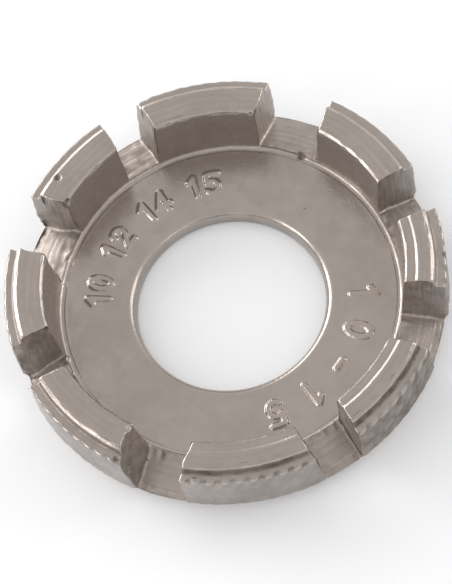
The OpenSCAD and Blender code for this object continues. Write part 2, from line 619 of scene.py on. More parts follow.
@dataclass(frozen=True)
class Notch:
    """One gap between two teeth, and how the milling and the casting left its faces.

    Pairs hold a value for the tooth end before the notch and one for the end after it, by rising angle.
    """

    angle: float  # Direction of its middle
    width: float  # Distance between the tops of the teeth
    lean: tuple[float, float] = (0.37, 0.0)  # How far the foot of each tooth end stands into the notch
    flare: tuple[float, float] = (0.0, 0.0)  # How far each tooth end falls back for each millimetre outward
    rounding: tuple[float, float] = (0.12, 0.12)  # Radius of the edges of each tooth end
    lumps: float = 0.02  # Height of the casting's lumps on its faces
    streaks: float = 0.012  # Height of the streaks along its floor
    burr: float = 0.05  # Height of the burr on the floor's inner edge
    wander: float = 0.04  # How far its rough ends stray from a plane
    grime: float = 0.15  # How much painted shade darkens its faces, which also makes them rougher
    rough_lumps: float = 0.025  # Height of lumps that make a face as rough as it gets

    def coarseness(self) -> float:
        """How rough its faces are, from 0 to 1."""
        return min(1.0, self.lumps / self.rough_lumps)

    def stray(self, end: int, r: Array, z: Array) -> Array:
        """How far a rough tooth end strays from its plane, at each radius and height."""
        phase = (self.angle + 180) % 360 - 180 + 2.1 * end
        return self.wander * (0.6 * np.sin(2.6 * r + 1.7 * z + phase) + 0.4 * np.sin(4.3 * z - 3.1 * r + 2 * phase))


# The notches by rising angle
NOTCHES = (
    Notch(-177.5, 4.10, (0.0, 0.0), (0.0, 0.0), (0.17, 0.14), 0.07, 0.012, 0.08, 0.08, 0.4),
    Notch(-135.0, 3.20, (0.36, 0.0), (0.0, 0.0), (0.12, 0.14), 0.06, 0.020, 0.08, 0.07),
    Notch(-88.0, 4.30, (0.56, 0.0), (0.0, 0.0), (0.12, 0.18), 0.05, 0.028, 0.06, 0.07),
    Notch(-38.5, 3.35, (0.43, 0.0), (0.0, 0.0), (0.12, 0.18), 0.03, 0.012, 0.09),
    Notch(5.5, 4.45, (0.37, 0.40), (0.0, 0.2), (0.12, 0.12), 0.03, 0.028, 0.05),
    Notch(44.0, 3.40, (0.37, 0.0), (0.0, 0.137), (0.12, 0.14), 0.03, 0.018, 0.05, 0.04, 0.4),
    Notch(90.0, 4.70, (0.37, 0.0), (0.0, 0.0), (0.16, 0.14), 0.02, 0.012, 0.05),
    Notch(141.0, 3.00, (0.45, 0.0), (0.0, 0.0), (0.17, 0.12), 0.015, 0.006, 0.09, 0.04, 0.55),
)

# Pits on the rim, and with a minus sign lumps and burrs: angle, radius, height, spread and depth
RIM_PITS = tuple(
    Pit(*row)
    for row in (
        (166.9, 14.0, 5.88, 0.34, 0.26), (171.8, 12.4, 5.65, 0.3, 0.2), (-142.1, 12.51, 5.6, 0.26, 0.2),
        (-141.2, 13.46, 5.8, 0.22, 0.14), (-170.5, 12.35, 3.0, 0.26, 0.16), (-176.7, 12.06, 1.65, 0.28, 0.16),
        (171.6, 12.4, 1.8, 0.3, 0.14), (102.2, 12.3, 5.72, 0.24, 0.12), (102.2, 12.3, 5.72, 0.1, -0.12),
        (113.3, 12.4, 5.8, 0.12, -0.05), (39.1, 12.04, 2.0, 0.4, 0.25), (86.4, 12.04, 1.5, 0.45, 0.2),
        (84.0, 12.65, 1.75, 0.45, -0.26), (84.7, 14.0, 2.6, 0.35, 0.18), (50.6, 12.42, 5.7, 0.22, -0.12),
        (-2.9, 14.2, 5.35, 0.22, -0.12), (-3.1, 14.79, 5.2, 0.2, -0.12), (-6.3, 14.24, 5.7, 0.2, -0.1),
        (-6.2, 15.07, 5.05, 0.2, -0.1), (-44.5, 14.16, 5.8, 0.18, -0.08), (-75.9, 15.01, 5.22, 0.18, -0.1),
        (-96.7, 13.65, 5.85, 0.22, -0.12), (-97.2, 12.85, 5.75, 0.3, -0.18), (-96.9, 12.4, 5.55, 0.28, -0.16),
        (-94.3, 13.07, 1.6, 0.32, -0.24), (-97.0, 15.02, 5.2, 0.4, 0.22), (-128.1, 15.2, 5.15, 0.24, -0.1),
        (-118.5, 15.2, 5.15, 0.24, -0.1), (-114.5, 15.2, 5.15, 0.22, -0.1), (-109.4, 14.65, 5.5, 0.22, -0.1),
        (-106.6, 14.66, 5.5, 0.2, -0.1), (-139.5, 11.9, 1.55, 0.3, -0.16), (-136.8, 12.4, 1.75, 0.36, -0.3),
        (-133.5, 13.1, 1.5, 0.4, -0.22), (-132.5, 12.0, 1.6, 0.28, 0.16),
    )
)

# How the rows of a tooth's section spread over a notch's floor: those of the knurl, of the inner wall, the rest
KNURL_SPREAD, WALL_SPREAD, OTHER_SPREAD = 0.45, 0.7, 1.2
# Columns of the mesh over a notch's floor, up a tooth's end, and for each groove of the knurl
FLOOR_COLUMNS, END_COLUMNS, GROOVE_COLUMNS = 25, 8, 8
# Where the columns lie on a tooth end's rounding, from the end inward
ROUNDING_SHARES = (0.1, 0.3, 0.6, 1.0)
# How far below the tops the lean of a tooth's end goes on, beside the depth of the floor
LEAN_LIMIT = 1.25
# How far inside the rim's outside the flare of a tooth's end starts
FLARE_START = 1.6
# Waves that a floor's streaks are made of, and their slowest and fastest, in radians per millimetre
STREAK_WAVES, STREAK_RATES = 9, (4, 22)
# How many of those waves shape the floor's burr, how slow they are there, and how wide the burr is
BURR_WAVES, BURR_RATE, BURR_WIDTH = 4, 0.35, 0.55
# How rough a floor is beside its tooth ends
FLOOR_ROUGH = 0.3
# The casting's unevenness all over the rim, that on the notches' faces, and where its edges are chipped
RIM_SWELL = (Waves(11, 2.4, 0.6), Waves(12, 0.9, 0.4))
NOTCH_HEAPS = (Waves(13, 1.9, 0.7), Waves(14, 0.9, 0.3))
CHIPPED_PLACES = Waves(15, 1.1)
# How far those lie below the full surface, beside their height
SUNK_BY = 0.8
# Between which bends, and which heights of those waves, an edge starts to chip and is all chipped
CHIP_BEND, CHIP_PATCH = (1.5, 6.0), (0.1, 1.6)
# Between which depths a pit starts to get painted shade and is fully shaded
PIT_SHADE = (0.015, 0.07)
# How much of the knurl is left low on the face, and how far under the shoulder that ends and it is full
LOW_KNURL, KNURL_FADE = 0.35, (1.8, 0.4)
# From where to where under the shoulder, out along it and down a groove the painted shade grows to its full amount
SHADE_DROP, SHADE_SHARE, SHADE_DEPTH = (0.55, 0.05), (0.55, 0.9), (0.15, 0.6)
# How near to the full radius, and to the foot of the step, a point is on the outer face or in the corner
FACE_BAND = 0.1
# How far below the tops filling the crease starts to lift the inner wall, and lifts it fully
CREASE_FADE = (1.4, 0.4)
# How far above the web the rim's unevenness reaches its full height
EVEN_BAND = 0.25


@dataclass(frozen=True)
class ToothEnd:
    """A tooth's end at a notch, or a face some way inside it."""

    notch: Notch  # The notch that it faces
    side: int  # -1 for the end before the notch, 1 for the one after it
    inside: float = 0.0  # Distance from the end, into the tooth

    @property
    def index(self) -> int:
        """Where its values stand in the notch's pairs."""
        return int(self.side > 0)


@dataclass
class Column:
    """One column of the rim's skin, before the knurl and the unevenness."""

    r: Array  # Radius of each row
    z: Array  # Height of each row
    start: ToothEnd  # The tooth end that it lies on or comes from
    stop: ToothEnd | None = None  # The tooth end that it leads to
    share: float = 0.0  # How far it has come on that way
    lumps: Array | float = 0.0  # Height of the casting's lumps
    lift: Array | float = 0.0  # Height that is added along the outward direction
    grime: Array | float = 0.0  # How much painted shade darkens it, which also makes it rougher
    rough: Array | float = 0.0  # How rough the casting is under the plate


@dataclass(frozen=True)
class RimRows:
    """Where the rows of the rim's skin lie on a tooth and on a notch's floor."""

    tooth: Section  # The section through a tooth
    floor_r: Array  # Radius of each row on a floor
    floor_z: Array  # Height of each row on a floor
    above: Array  # 1 for the rows that the notches cut, 0 for the others

    def inset(self, depth: float) -> tuple[Array, Array]:
        """The tooth's section drawn in by a depth, above the floor."""
        tooth = self.tooth
        return tooth.r - depth * tooth.out_r * self.above, tooth.z - depth * tooth.out_z * self.above


@dataclass
class ToothedRim:
    """The knurled rim with its eight teeth."""

    height: float
    seam_radius: float
    radius: float = 15.25
    shoulder_width: float = 0.85
    shoulder_drop: float = 0.68
    step_width: float = 0.2
    land_width: float = 1.05
    worn_drop: float = 0.16
    worn_slope: float = 31.0
    crease_width: float = 0.18
    crease_drop: float = 0.10
    slope_width: float = 0.77
    slope_drop: float = 0.06
    edge_bevel: float = 0.18
    wall_lean: float = 5.0
    foot_rounding: float = 0.329
    under_bevel_width: float = 0.66
    under_bevel_height: float = 1.35
    floor_height: float = 1.7
    floor_fall: float = 1.05
    floor_rounding: float = 0.14
    web_height: float = 1.3
    seat_width: float = 0.8
    seat_height: float = 0.5
    knurl_count: int = 96
    knurl_depth: float = 0.14
    knurl_width: float = 0.7
    knurl_slant: float = 28.0
    skin_lumps: float = 0.010
    chips: float = 0.022
    knurl_left: Table = (
        (-154, 0.4), (-110, 0.6), (-62, 0.95), (-15, 0.5), (21, 0.85), (40, 0.7), (66, 0.15), (116, 0.3)
    )
    crease_left: Table = (
        (-150, 0.0), (-110, 0.3), (-75, 0.5), (-40, 1.0), (30, 1.0), (68, 0.5), (90, 0.0), (165, 0.0)
    )
    # Painted shade by angle round the rim: in the step's corner, and on the outer face that stands in shade
    step_shade: Table = ((-120, 0.1), (-84, 0.9), (-2, 0.9), (10, 0.2), (60, 0.0), (170, 0.0))
    face_shade: Table = ((-100, 0.15), (-52, 0.25), (-32, 0.7), (0, 0.8), (20, 0.4), (60, 0.0), (170, 0.0))
    notches: tuple[Notch, ...] = NOTCHES
    pits: tuple[Pit, ...] = RIM_PITS
    finish: NickelPlate = RIM_NICKEL

    def __post_init__(self) -> None:
        """Works out the radii and heights that several methods use."""
        self.wall_run = math.tan(math.radians(self.wall_lean))
        self.shoulder_z = self.height - self.shoulder_drop
        self.land_r = self.radius - self.shoulder_width
        self.step_r = self.land_r + self.step_width
        self.bevel_r = self.radius - self.under_bevel_width
        self.slope_r = self.land_r - self.land_width - self.crease_width
        self.inner_r = self.slope_r - self.slope_width
        self.inner_z = self.height - self.crease_drop - self.slope_drop
        self.floor_r = self._wall_r(self.floor_height)

    def _wall_r(self, z: float) -> float:
        """Radius of the leaning inner wall at a height."""
        return self.inner_r - (self.inner_z - z) * self.wall_run

    def section(self) -> Section:
        """Traces the cross-section through a tooth.

        Returns:
            The traced section.
        """
        top, web, seat = self.height, self.web_height, self.seat_height
        worn_r = self.land_r + self.step_width * self.worn_drop / self.shoulder_drop
        worn_run = self.worn_drop / math.tan(math.radians(self.worn_slope))
        edge_z = self.inner_z - self.edge_bevel
        bevel_rise = self.slope_drop * self.edge_bevel / self.slope_width
        seat_r = self.seam_radius - self.seat_width
        return trace_section(
            [
                Corner(seat_r, 0.0, RimFace.UNDERSIDE, 0.05, 2, 3),
                Corner(self.bevel_r, 0.0, RimFace.UNDER_BEVEL, 0.15, 3, 3),
                Corner(*self._floor_end(), RimFace.UPPER_BEVEL, 0.0, 0, 3),
                Corner(self.radius, self.under_bevel_height, RimFace.KNURL, 0.0, 0, 23),
                Corner(self.radius, self.shoulder_z, RimFace.SHOULDER, 0.20, 4, 4),
                Corner(self.step_r, self.shoulder_z, RimFace.STEP, 0.06, 2, 5),
                Corner(worn_r, top - self.worn_drop, RimFace.LAND, 0.12, 3, 2),
                Corner(worn_r - worn_run, top, RimFace.LAND, 0.14, 3, 7),
                Corner(self.land_r - self.land_width, top, RimFace.CREASE, 0.14, 2, 2),
                Corner(self.slope_r, top - self.crease_drop, RimFace.SLOPE, 0.14, 2, 5),
                Corner(self.inner_r + self.edge_bevel, self.inner_z + bevel_rise, RimFace.EDGE, 0.08, 2, 2),
                Corner(self._wall_r(edge_z), edge_z, RimFace.INNER_WALL, 0.08, 2, 13),
                Corner(self._wall_r(web), web, RimFace.FOOT, self.foot_rounding, 6, 1),
                Corner(self.seam_radius, web, RimFace.SEAM, 0.0, 0, 2),
                Corner(self.seam_radius, seat, RimFace.SEAT, 0.0, 0, 2),
                Corner(seat_r, seat, RimFace.SKIRT, 0.0, 0, 2),
            ]
        )

    def _floor_end(self) -> tuple[float, float]:
        """Finds where the notches' floors run out through the bevel under the knurl.

        Returns:
            The radius and the height there.
        """
        fall = self.floor_fall / (self.radius - self.floor_r)
        lean = self.under_bevel_width / self.under_bevel_height
        z = (self.floor_height - fall * (self.bevel_r - self.floor_r)) / (1 + fall * lean)
        return self.bevel_r + lean * z, z

    def _rows(self, tooth: Section) -> RimRows:
        """Spreads the rows of a tooth's section over a notch's floor.

        Args:
            tooth: The section through a tooth.

        Returns:
            The rows on a tooth and on a floor.
        """
        outer, inner = tooth.faces.index(RimFace.UPPER_BEVEL), tooth.faces.index(RimFace.FOOT)
        above = np.zeros(len(tooth.r))
        above[outer + 1 : inner] = 1.0
        spread = np.where(tooth.rows(RimFace.KNURL), KNURL_SPREAD, OTHER_SPREAD)
        spread = np.where(tooth.rows(RimFace.INNER_WALL), WALL_SPREAD, spread)
        run = np.concatenate([[0], np.cumsum(spread[outer:inner])])
        run /= run[-1]
        floor = []
        for line in (tooth.r, tooth.z):
            level = line.copy()
            level[outer : inner + 1] = line[outer] + (line[inner] - line[outer]) * run
            floor.append(level)
        return RimRows(tooth, *floor, above)

    def _end_turn(self, end: ToothEnd, r: Array, z: Array) -> Array:
        """Works out the angle of points on a tooth's end.

        Args:
            end: The tooth's end.
            r: Radius of each point.
            z: Height of each point.

        Returns:
            The angles, in radians.
        """
        notch, index = end.notch, end.index
        sunk = np.clip((self.height - z) / (self.height - self.floor_height), 0, LEAN_LIMIT)
        off = notch.width / 2 - notch.lean[index] * sunk + notch.flare[index] * (r - self.radius + FLARE_START)
        off = off + notch.stray(index, r, z) + end.inside
        return math.radians(notch.angle) + end.side * np.arcsin(off / r)

    def _turn(self, column: Column, r: Array) -> Array:
        """The angle of each row of a column, at these radii."""
        start, stop = (self._end_turn(end, r, column.z) for end in (column.start, column.stop or column.start))
        return (1 - column.share) * start + column.share * stop

    def _columns(self, rows: RimRows) -> list[Column]:
        """Lays out all the columns of the skin.

        Args:
            rows: Where the rows of the skin lie.

        Returns:
            The columns, by rising angle from the first notch.
        """
        columns: list[Column] = []
        for i, notch in enumerate(self.notches):
            after = self.notches[(i + 1) % len(self.notches)]
            if after.angle < notch.angle:
                after = replace(after, angle=after.angle + 360)
            columns += self._end_wall(rows, ToothEnd(notch, -1))[::-1]
            columns += self._floor(rows, notch)
            columns += self._end_wall(rows, ToothEnd(notch, 1))
            columns += self._tooth(rows, notch, after)
        return columns

    def _floor(self, rows: RimRows, notch: Notch) -> list[Column]:
        """Lays out a notch's floor.

        Args:
            rows: Where the rows of the skin lie.
            notch: The notch.

        Returns:
            The columns, from one tooth end to the other.
        """
        above = rows.above
        half = (notch.width - sum(notch.lean)) / 2
        even = np.linspace(-1, 1, FLOOR_COLUMNS)
        place = 0.6 * even + 0.4 * np.sin(even * math.pi / 2)
        rng = np.random.default_rng(int(1000 * notch.width))
        rate, phase = rng.uniform(*STREAK_RATES, STREAK_WAVES), rng.uniform(0, FULL_TURN, STREAK_WAVES)
        inner_edge = smooth_step(BURR_WIDTH, 0.0, rows.floor_r - rows.floor_r[above > 0].min()) * above
        made = []
        for u in place * half:
            streak = np.sin(rate * u + phase).mean() * 3 * notch.streaks
            ripple = np.sin(rate[:BURR_WAVES] * BURR_RATE * u + phase[:BURR_WAVES]).mean()
            burr = notch.burr * max(0.0, 0.5 + ripple)
            made.append(
                Column(
                    rows.floor_r,
                    rows.floor_z + self._floor_lift(half - abs(u)) * above,
                    ToothEnd(notch, -1),
                    ToothEnd(notch, 1),
                    0.5 + 0.5 * u / half,
                    lumps=notch.lumps * above,
                    lift=streak * above + burr * inner_edge,
                    grime=notch.grime * above,
                    rough=FLOOR_ROUGH * notch.coarseness() * above,
                )
            )
        return made

    def _floor_lift(self, from_end: float) -> float:
        """How far the rounding at a tooth's foot lifts the floor."""
        into = min(max(0.0, self.floor_rounding - from_end), self.floor_rounding * 0.98)
        return self.floor_rounding - math.sqrt(self.floor_rounding**2 - into**2)

    def _end_wall(self, rows: RimRows, end: ToothEnd) -> list[Column]:
        """Lays out a tooth's end.

        Args:
            rows: Where the rows of the skin lie.
            end: The tooth's end.

        Returns:
            The columns, from the floor up.
        """
        notch, above = end.notch, rows.above
        top_r, top_z = rows.inset(notch.rounding[end.index])
        foot_z = rows.floor_z + self._floor_lift(0.0) * above
        return [
            Column(
                rows.floor_r + (top_r - rows.floor_r) * share,
                foot_z + (top_z - foot_z) * share,
                end,
                lumps=notch.lumps * above * (1 - 0.6 * share),
                grime=notch.grime * above * 0.4 * (1 - share),
                rough=notch.coarseness() * above * (1 - 0.4 * share),
            )
            for share in np.linspace(0, 1, END_COLUMNS + 1)[1:]
        ]

    def _rounded_end(self, rows: RimRows, end: ToothEnd) -> list[Column]:
        """Lays out the rounding of a tooth's end.

        Args:
            rows: Where the rows of the skin lie.
            end: The tooth's end.

        Returns:
            The columns, from the notch into the tooth.
        """
        rounding = end.notch.rounding[end.index]
        made = []
        for share in ROUNDING_SHARES:
            drawn_in = rows.inset(rounding * (1 - math.sqrt(1 - (1 - share) ** 2)))
            made.append(Column(*drawn_in, replace(end, inside=share * rounding)))
        return made

    def _tooth(self, rows: RimRows, notch: Notch, after: Notch) -> list[Column]:
        """Lays out the tooth between two notches.

        Args:
            rows: Where the rows of the skin lie.
            notch: The notch before it.
            after: The notch after it.

        Returns:
            The columns, from one rounded end to the other.
        """
        tooth = rows.tooth
        span = math.radians(after.angle - notch.angle) - (notch.width + after.width) / 2 / self.radius
        steps = max(8, round(span / (FULL_TURN / self.knurl_count) * GROOVE_COLUMNS))
        start, stop = ToothEnd(notch, 1, notch.rounding[1]), ToothEnd(after, -1, after.rounding[0])
        shares = np.linspace(0, 1, steps + 1)[1:-1]
        middle = [Column(tooth.r, tooth.z, start, stop, share) for share in shares]
        return self._rounded_end(rows, start) + middle + self._rounded_end(rows, stop)[::-1]

    def _knurl(self, section: Section, r: Array, z: Array, turn: Array) -> tuple[Array, Array]:
        """Cuts the slanted grooves into the rim's outer face and its shoulder.

        Args:
            section: The section through a tooth.
            r: Radius of each point.
            z: Height of each point.
            turn: Angle of each point, in radians.

        Returns:
            The new radii, and how much painted shade lies on the face, in the grooves and on the step.
        """
        top, step_r = self.shoulder_z, self.step_r
        slant = math.radians(self.knurl_slant)
        pitch = FULL_TURN * self.radius / self.knurl_count
        phase = turn * self.knurl_count / FULL_TURN - (z - top / 2) * math.tan(slant) / pitch
        off = np.abs(phase - np.round(phase)) * pitch
        half = self.knurl_width / 2 / math.cos(slant)
        high = smooth_step(*(top - drop for drop in KNURL_FADE), z)
        left = self._round(self.knurl_left, turn) * (LOW_KNURL + (1 - LOW_KNURL) * high)
        sunk = 0.5 + 0.5 * np.cos(math.pi * np.clip(off / half, 0, 1))
        face_r = self.radius - self.knurl_depth * left * sunk
        outside = section.rows(RimFace.KNURL, RimFace.UNDER_BEVEL, RimFace.UPPER_BEVEL)
        share = np.clip((r - step_r) / (self.radius - step_r), 0, 1)
        cut = np.where(outside, np.minimum(r, face_r), r)
        on_shoulder = section.rows(RimFace.SHOULDER) & (r > step_r)
        # Painted shade down the grooves near the shoulder, then on the outer face and the step by angle
        near_edge = smooth_step(*(top - drop for drop in SHADE_DROP), z) * smooth_step(*SHADE_SHARE, share)
        in_grooves = smooth_step(*SHADE_DEPTH, sunk) * np.minimum(1.2 * left, 1) * near_edge
        shade_mask = np.where(outside | on_shoulder, in_grooves, 0.0)
        face = section.rows(RimFace.KNURL) & (r > self.radius - FACE_BAND) & (z > self.under_bevel_height)
        shade_mask = np.where(face, np.maximum(shade_mask, self._round(self.face_shade, turn)), shade_mask)
        step = section.rows(RimFace.STEP) & (z > top - FACE_BAND)
        shade_mask = np.where(step, self._round(self.step_shade, turn), shade_mask)
        return np.where(on_shoulder, step_r + share * (face_r - step_r), cut), shade_mask

    @staticmethod
    def _round(table: Table, turn: Array) -> Array:
        """Values round the rim, blended between those of a table."""
        angles, values = zip(*table)
        return np.interp(np.degrees(turn), angles, values, period=360)

    def skin(self) -> tuple[RingSkin, Array, Array]:
        """Shapes the rim's whole skin, with the knurl, the unevenness and the pits.

        Returns:
            The skin, and the painted shade and the roughness at each point.
        """
        section = self.section()
        columns = self._columns(self._rows(section))

        def of_columns(name: str) -> Array:
            """One value of all the columns, for every row."""
            return np.array([getattr(column, name) + 0 * column.r for column in columns])

        r, z = of_columns("r"), of_columns("z")
        turn = np.array([self._turn(column, column.r) for column in columns])
        r, shade_mask = self._knurl(section, r, z, turn)
        turn = np.array([self._turn(column, row) for column, row in zip(columns, r)])
        z = z + self._fill_crease(section, z, turn)
        made = RingSkin.turned(r, turn, z)
        hidden = section.rows(RimFace.SEAM, RimFace.SEAT, RimFace.SKIRT, RimFace.UNDERSIDE)
        shown = np.where(hidden, 0.0, smooth_step(self.web_height, self.web_height + EVEN_BAND, z))
        shown = np.where(section.rows(RimFace.UNDER_BEVEL, RimFace.UPPER_BEVEL, RimFace.KNURL), 1.0, shown)
        sink = sum(pit.sink(made.points) for pit in self.pits)
        chipped = smooth_step(*CHIP_BEND, made.bend()) * smooth_step(*CHIP_PATCH, CHIPPED_PLACES.at(made.points))
        chipped = np.where(section.rows(RimFace.CREASE, RimFace.SLOPE), 0.0, chipped)
        uneven = self.skin_lumps * (added_up(RIM_SWELL, made.points) - SUNK_BY)
        uneven = uneven + of_columns("lumps") * (added_up(NOTCH_HEAPS, made.points) - SUNK_BY)
        uneven = uneven + of_columns("lift") - self.chips * chipped
        made.push(uneven * shown - sink)
        self._stay_inside(made)
        # Painted shade: in the grooves, on the step and outer face, in the notches, and in the pits
        shade_mask = np.maximum.reduce([shade_mask, of_columns("grime"), smooth_step(*PIT_SHADE, sink)])
        return made, shade_mask, of_columns("rough")

    def _fill_crease(self, section: Section, z: Array, turn: Array) -> Array:
        """Raises the top inside the crease where the crease has worn away.

        Args:
            section: The section through a tooth.
            z: Height of each point.
            turn: Angle of each point, in radians.

        Returns:
            The height to add at each point.
        """
        worn = 1 - self._round(self.crease_left, turn)
        inside = section.rows(RimFace.CREASE, RimFace.SLOPE, RimFace.EDGE, RimFace.INNER_WALL)
        below = np.clip((self.height - section.z) / self.crease_drop, 0, 1)
        near_top = smooth_step(*(self.height - drop for drop in CREASE_FADE), z)
        return np.where(inside, worn * self.crease_drop * below * near_top, 0.0)

    def _stay_inside(self, skin: RingSkin) -> None:
        """Keeps the unevenness inside the rim's full size.

        Args:
            skin: The rim's skin.
        """
        p = skin.points
        over = np.maximum(np.hypot(p[..., 0], p[..., 1]) / self.radius, 1.0)
        p[..., :2] /= over[..., None]
        skin.points = np.clip(p, np.array(CAD_BOX[0]) / MM, np.array(CAD_BOX[1]) / MM)

    def build(self, effects: PlateEffects) -> bpy.types.Object:
        """Makes the rim's object in place of its solid, with its finish.

        Args:
            effects: The shared shader groups.

        Returns:
            The new object.
        """
        skin, shade_mask, rough = self.skin()
        piece = skin.to_object("plated_toothed_rim", 2, shade_mask, rough)
        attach(piece, BODY)
        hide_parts("toothed_rim")
        piece.data.materials.append(self.finish.material(effects))
        return piece


def arc_points(x: float, y: float, rx: float, ry: float, start: float, end: float) -> Line:
    """Points on part of an ellipse, between two directions in degrees."""
    turns = np.radians(np.linspace(start, end, 13))
    return [(x + rx * math.cos(t), y + ry * math.sin(t)) for t in turns]


# Strokes of the figures, in a cell one unit high, and the middle of its width
FIGURE_STROKES: dict[str, list[Line]] = {
    "0": [arc_points(0.31, 0.5, 0.23, 0.41, 0, 360)],
    "1": [[(0.14, 0.72), (0.34, 0.91), (0.34, 0.09)]],
    "2": [arc_points(0.31, 0.67, 0.22, 0.24, 170, -40) + [(0.09, 0.09), (0.55, 0.09)]],
    "4": [[(0.42, 0.09), (0.42, 0.91), (0.06, 0.33), (0.58, 0.33)]],
    "5": [[(0.52, 0.91), (0.15, 0.91), (0.12, 0.55)], arc_points(0.28, 0.35, 0.25, 0.26, 130, -140)],
    "-": [[(0.12, 0.46), (0.50, 0.46)]],
}
FIGURE_MIDDLE = 0.31
# How far sideways and up or down from a figure's cell its strokes can reach
FIGURE_REACH, FIGURE_MARGIN = 0.8, 0.4


@dataclass(frozen=True)
class RaisedFigures:
    """A row of figures cast on the web, read clockwise with their tops outward."""

    text: str  # The figures
    start: float  # Direction of the first one's middle
    end: float  # Direction of the last one's middle
    foot_r: float  # Radius of the line that they stand on
    height: float  # Height of a figure
    stroke: float  # Width of a stroke
    rise: float  # How far they stand above the web
    slope: float = 0.10  # Half the width of a stroke's sloping sides

    def lift(self, r: Array, turn: Array) -> Array:
        """How far the figures lift the web.

        Args:
            r: Radius of each point.
            turn: Angle of each point, in radians.

        Returns:
            The height to add at each point.
        """
        total = np.zeros(r.shape)
        middle_r = self.foot_r + self.height / 2
        for figure, angle in zip(self.text, np.linspace(self.start, self.end, len(self.text))):
            if figure not in FIGURE_STROKES:
                continue
            away = (turn - math.radians(angle) + math.pi) % FULL_TURN - math.pi
            x = FIGURE_MIDDLE - away * middle_r / self.height
            y = (r - self.foot_r) / self.height
            near = (np.abs(x - FIGURE_MIDDLE) < FIGURE_REACH) & (y > -FIGURE_MARGIN) & (y < 1 + FIGURE_MARGIN)
            gap = np.full(int(near.sum()), np.inf)
            for stroke in FIGURE_STROKES[figure]:
                for start, stop in zip(stroke, stroke[1:]):
                    gap = np.minimum(gap, self._gap(x[near], y[near], start, stop))
            edge = self.stroke / 2
            ridge = smooth_step(edge + self.slope, edge - self.slope, gap * self.height)
            total[near] = np.maximum(total[near], ridge * self.rise)
        return total

    @staticmethod
    def _gap(x: Array, y: Array, start: Point, stop: Point) -> Array:
        """Measures how far points are from a straight stroke.

        Args:
            x: Place of each point across the figure's cell.
            y: Place of each point up the cell.
            start: One end of the stroke.
            stop: Its other end.

        Returns:
            The distance of each point.
        """
        (ax, ay), (bx, by) = start, stop
        dx, dy = bx - ax, by - ay
        along = np.clip(((x - ax) * dx + (y - ay) * dy) / max(dx * dx + dy * dy, TINY), 0, 1)
        return np.hypot(x - ax - along * dx, y - ay - along * dy)


# The casting's unevenness on the web
WEB_SWELL = (Waves(21, 3.0, 0.7), Waves(22, 1.0, 0.3))


@dataclass
class WebDisc:
    """The annular web with its rounded hole and raised gauge figures."""

    hole_radius: float
    plate_radius: float
    height: float
    lip_rounding: float = 0.8
    bore_bevel: float = 0.1
    seat_width: float = 0.8
    seat_height: float = 0.5
    top_bevel: float = 0.01
    columns: int = 1120
    skin_lumps: float = 0.006
    even_edge: float = 0.3
    # Depths at which the pit starts to get painted shade and is fully shaded
    pit_shade: tuple[float, float] = (0.02, 0.05)
    figures: tuple[RaisedFigures, ...] = (
        RaisedFigures("10 12 14 15", 198.3, 119.3, 8.35, 1.85, 0.40, 0.16),
        RaisedFigures("10-15", 21.3, -48.7, 8.30, 2.10, 0.42, 0.16),
    )
    pit: Pit = Pit(73.3, 8.63, 1.3, 0.18, 0.05)
    finish: NickelPlate = WEB_NICKEL

    def section(self) -> Section:
        """Traces the disc's cross-section.

        Returns:
            The traced section.
        """
        boss_r = self.plate_radius - self.seat_width
        return trace_section(
            [
                Corner(self.hole_radius + self.bore_bevel, 0.0, WebFace.UNDERSIDE, 0.0, 0, 5),
                Corner(boss_r, 0.0, WebFace.SKIRT, 0.0, 0, 2),
                Corner(boss_r, self.seat_height, WebFace.SEAT, 0.0, 0, 2),
                Corner(self.plate_radius, self.seat_height, WebFace.SEAM, 0.0, 0, 3),
                Corner(self.plate_radius, self.height, WebFace.TOP, self.top_bevel, 1, 62),
                Corner(self.hole_radius, self.height, WebFace.BORE, self.lip_rounding, 9, 3),
                Corner(self.hole_radius, self.bore_bevel, WebFace.BORE_BEVEL, 0.03, 1, 1),
            ]
        )

    def skin(self) -> tuple[RingSkin, Array]:
        """Shapes the disc's whole skin, with its figures, unevenness and pit.

        Returns:
            The skin, and the painted shade in its pit at each point.
        """
        section = self.section()
        turn = np.linspace(0, FULL_TURN, self.columns, endpoint=False)[:, None] + 0 * section.r
        r = section.r + 0 * turn
        made = RingSkin.turned(r, turn, section.z + 0 * turn)
        figures = sum(row.lift(r, turn) for row in self.figures)
        sink = self.pit.sink(made.points)
        inside = smooth_step(self.plate_radius, self.plate_radius - self.even_edge, r)
        uneven = inside * self.skin_lumps * (added_up(WEB_SWELL, made.points) - 1)
        made.push(np.where(section.rows(WebFace.TOP), figures + uneven - sink, 0.0))
        return made, smooth_step(*self.pit_shade, sink)

    def build(self, effects: PlateEffects) -> bpy.types.Object:
        """Makes the disc's object in place of its solid, with its finish.

        Args:
            effects: The shared shader groups.

        Returns:
            The new object.
        """
        skin, shade_mask = self.skin()
        piece = skin.to_object("plated_web_disc", 2, shade_mask, np.zeros_like(shade_mask))
        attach(piece, BODY)
        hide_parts("web_disc")
        piece.data.materials.append(self.finish.material(effects))
        return piece


